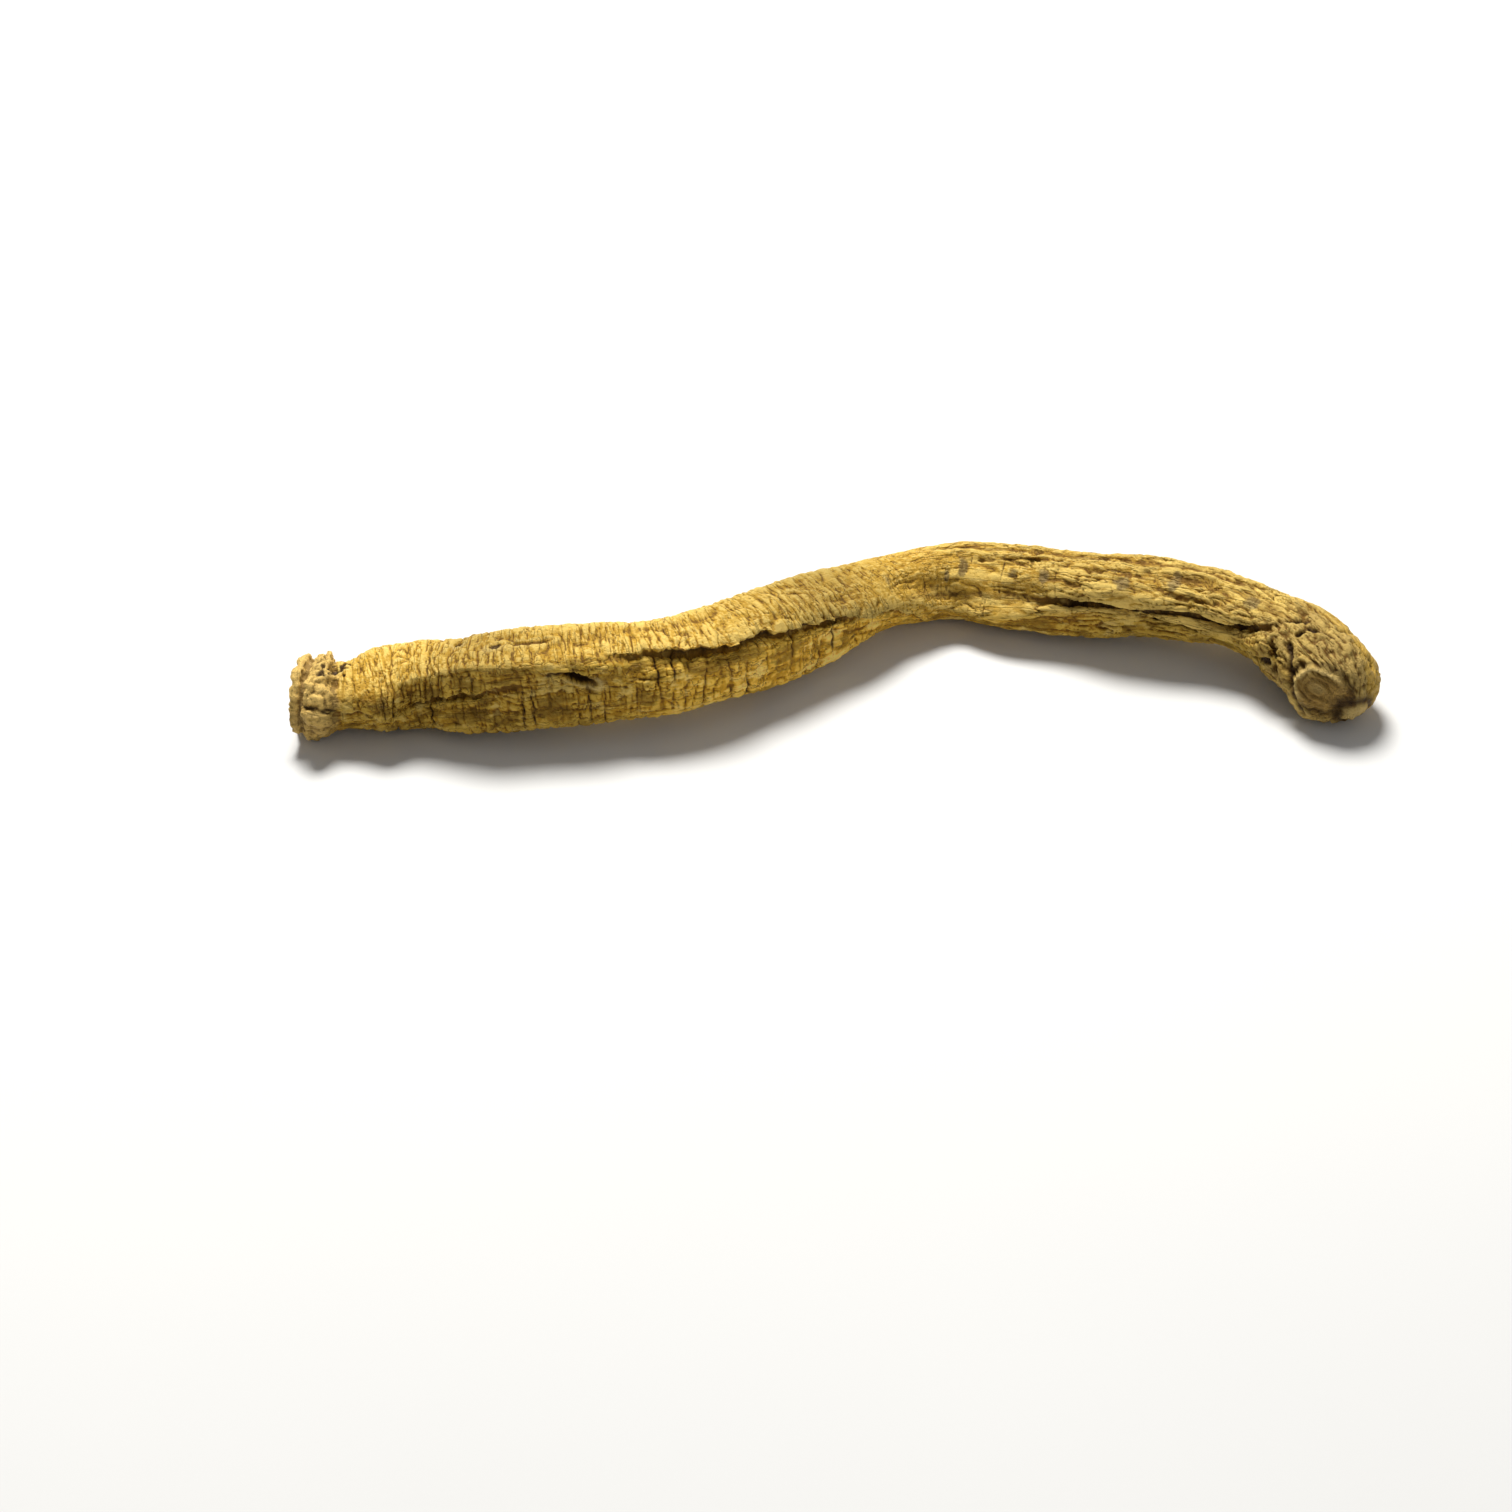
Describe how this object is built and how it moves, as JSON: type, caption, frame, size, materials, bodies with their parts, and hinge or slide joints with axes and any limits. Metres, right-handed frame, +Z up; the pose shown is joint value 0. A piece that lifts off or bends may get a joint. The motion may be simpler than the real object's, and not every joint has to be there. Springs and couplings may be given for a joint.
{
  "type": "dried codonopsis root",
  "caption": "Long bent dried codonopsis root with ring cracks, deep long folds, a crumbly crown and a blunt hooked tail with cut rootlet scars.",
  "frame": {"origin": "middle of the base of the box round the root, on the surface that it lies on", "axes": "+X from the crown to the tail, +Y away from the side that the picture shows, +Z up"},
  "size_m": [0.1762, 0.048, 0.0174],
  "materials": {
    "root": "dry matt skin, golden ochre with brown cracks"
  },
  "bodies": {
    "root": {"root": "root"}
  },
  "joints": []
}
